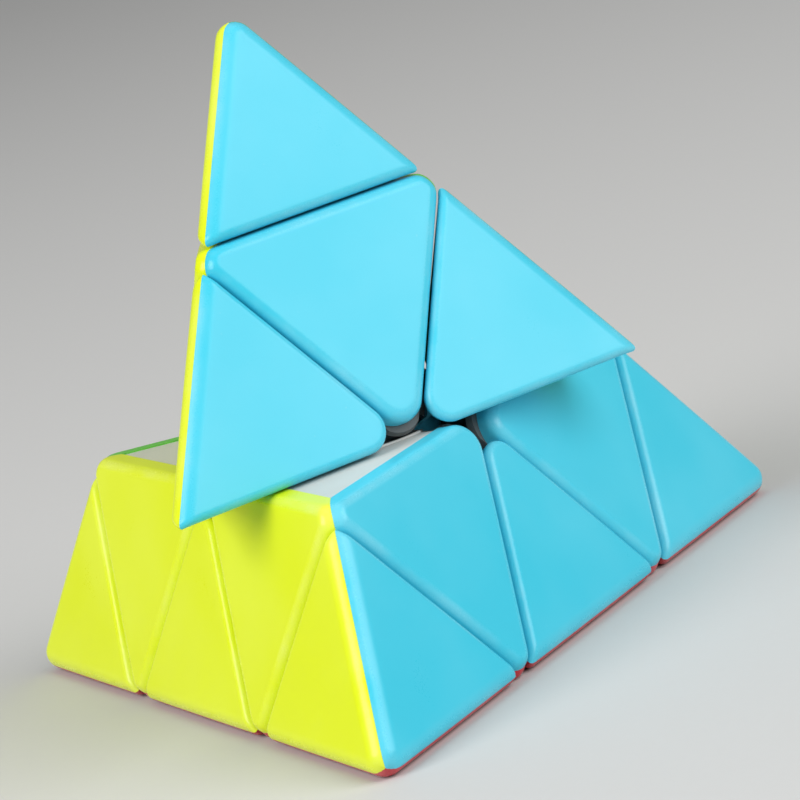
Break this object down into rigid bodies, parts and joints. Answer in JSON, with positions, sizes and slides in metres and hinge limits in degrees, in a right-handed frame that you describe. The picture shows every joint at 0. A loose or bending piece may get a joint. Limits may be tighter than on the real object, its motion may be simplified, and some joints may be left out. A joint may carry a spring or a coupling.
{
  "type": "pyramid twisty puzzle",
  "caption": "Pyramid twist puzzle with rounded coloured caps on pale inner pieces; its top layer, shown part-turned, and its corner tips rotate.",
  "frame": {"origin": "middle of the puzzle, where the four turning axes cross, which is also its centroid; the face it rests on is 21.4 mm below", "axes": "+Z from the middle to the top corner; -Y toward the front corner of the lower face; +X toward the side of the right corner"},
  "size_m": [0.098, 0.0884, 0.0809],
  "materials": {
    "blue_plastic": "smooth semi-gloss moulded",
    "yellow_plastic": "smooth semi-gloss moulded",
    "green_plastic": "smooth semi-gloss moulded",
    "red_plastic": "smooth semi-gloss moulded",
    "pale_plastic": "plain satin moulded",
    "grey_plastic": "dark satin moulded",
    "steel": "plain bright steel"
  },
  "bodies": {
    "lower": {"centre_front_base": "pale_plastic", "centre_front_red_cap": "red_plastic", "centre_front_yellow_cap": "yellow_plastic", "centre_front_blue_cap": "blue_plastic", "centre_right_base": "pale_plastic", "centre_right_red_cap": "red_plastic", "centre_right_green_cap": "green_plastic", "centre_right_blue_cap": "blue_plastic", "centre_left_base": "pale_plastic", "centre_left_red_cap": "red_plastic", "centre_left_green_cap": "green_plastic", "centre_left_yellow_cap": "yellow_plastic", "edge_front_right_base": "pale_plastic", "edge_front_right_red_cap": "red_plastic", "edge_front_right_blue_cap": "blue_plastic", "edge_front_left_base": "pale_plastic", "edge_front_left_red_cap": "red_plastic", "edge_front_left_yellow_cap": "yellow_plastic", "edge_right_left_base": "pale_plastic", "edge_right_left_red_cap": "red_plastic", "edge_right_left_green_cap": "green_plastic", "edge_feet_lower": "grey_plastic", "tip_pivots_lower": "grey_plastic", "core": "grey_plastic", "tension_screws": "steel", "washers": "steel", "springs": "steel"},
    "top_layer": {"centre_top_base": "pale_plastic", "centre_top_green_cap": "green_plastic", "centre_top_yellow_cap": "yellow_plastic", "centre_top_blue_cap": "blue_plastic", "edge_top_front_base": "pale_plastic", "edge_top_front_yellow_cap": "yellow_plastic", "edge_top_front_blue_cap": "blue_plastic", "edge_top_right_base": "pale_plastic", "edge_top_right_green_cap": "green_plastic", "edge_top_right_blue_cap": "blue_plastic", "edge_top_left_base": "pale_plastic", "edge_top_left_green_cap": "green_plastic", "edge_top_left_yellow_cap": "yellow_plastic", "edge_feet_top": "grey_plastic", "tip_pivot_top": "grey_plastic"},
    "tip_top": {"tip_top_base": "pale_plastic", "tip_top_green_cap": "green_plastic", "tip_top_yellow_cap": "yellow_plastic", "tip_top_blue_cap": "blue_plastic"},
    "tip_front": {"tip_front_base": "pale_plastic", "tip_front_red_cap": "red_plastic", "tip_front_yellow_cap": "yellow_plastic", "tip_front_blue_cap": "blue_plastic"},
    "tip_right": {"tip_right_base": "pale_plastic", "tip_right_red_cap": "red_plastic", "tip_right_green_cap": "green_plastic", "tip_right_blue_cap": "blue_plastic"},
    "tip_left": {"tip_left_base": "pale_plastic", "tip_left_red_cap": "red_plastic", "tip_left_green_cap": "green_plastic", "tip_left_yellow_cap": "yellow_plastic"}
  },
  "joints": [
    {"name": "top_layer_turn", "type": "hinge", "parent": "lower", "child": "top_layer", "pos_m": [0, 0, 0], "axis": [0, 0, 1], "continuous": true},
    {"name": "tip_top_turn", "type": "hinge", "parent": "top_layer", "child": "tip_top", "pos_m": [0, 0, 0], "axis": [0, 0, 1], "continuous": true},
    {"name": "tip_front_turn", "type": "hinge", "parent": "lower", "child": "tip_front", "pos_m": [0, 0, 0], "axis": [0, -0.9428, -0.3333], "continuous": true},
    {"name": "tip_right_turn", "type": "hinge", "parent": "lower", "child": "tip_right", "pos_m": [0, 0, 0], "axis": [0.8165, 0.4714, -0.3333], "continuous": true},
    {"name": "tip_left_turn", "type": "hinge", "parent": "lower", "child": "tip_left", "pos_m": [0, 0, 0], "axis": [-0.8165, 0.4714, -0.3333], "continuous": true}
  ]
}
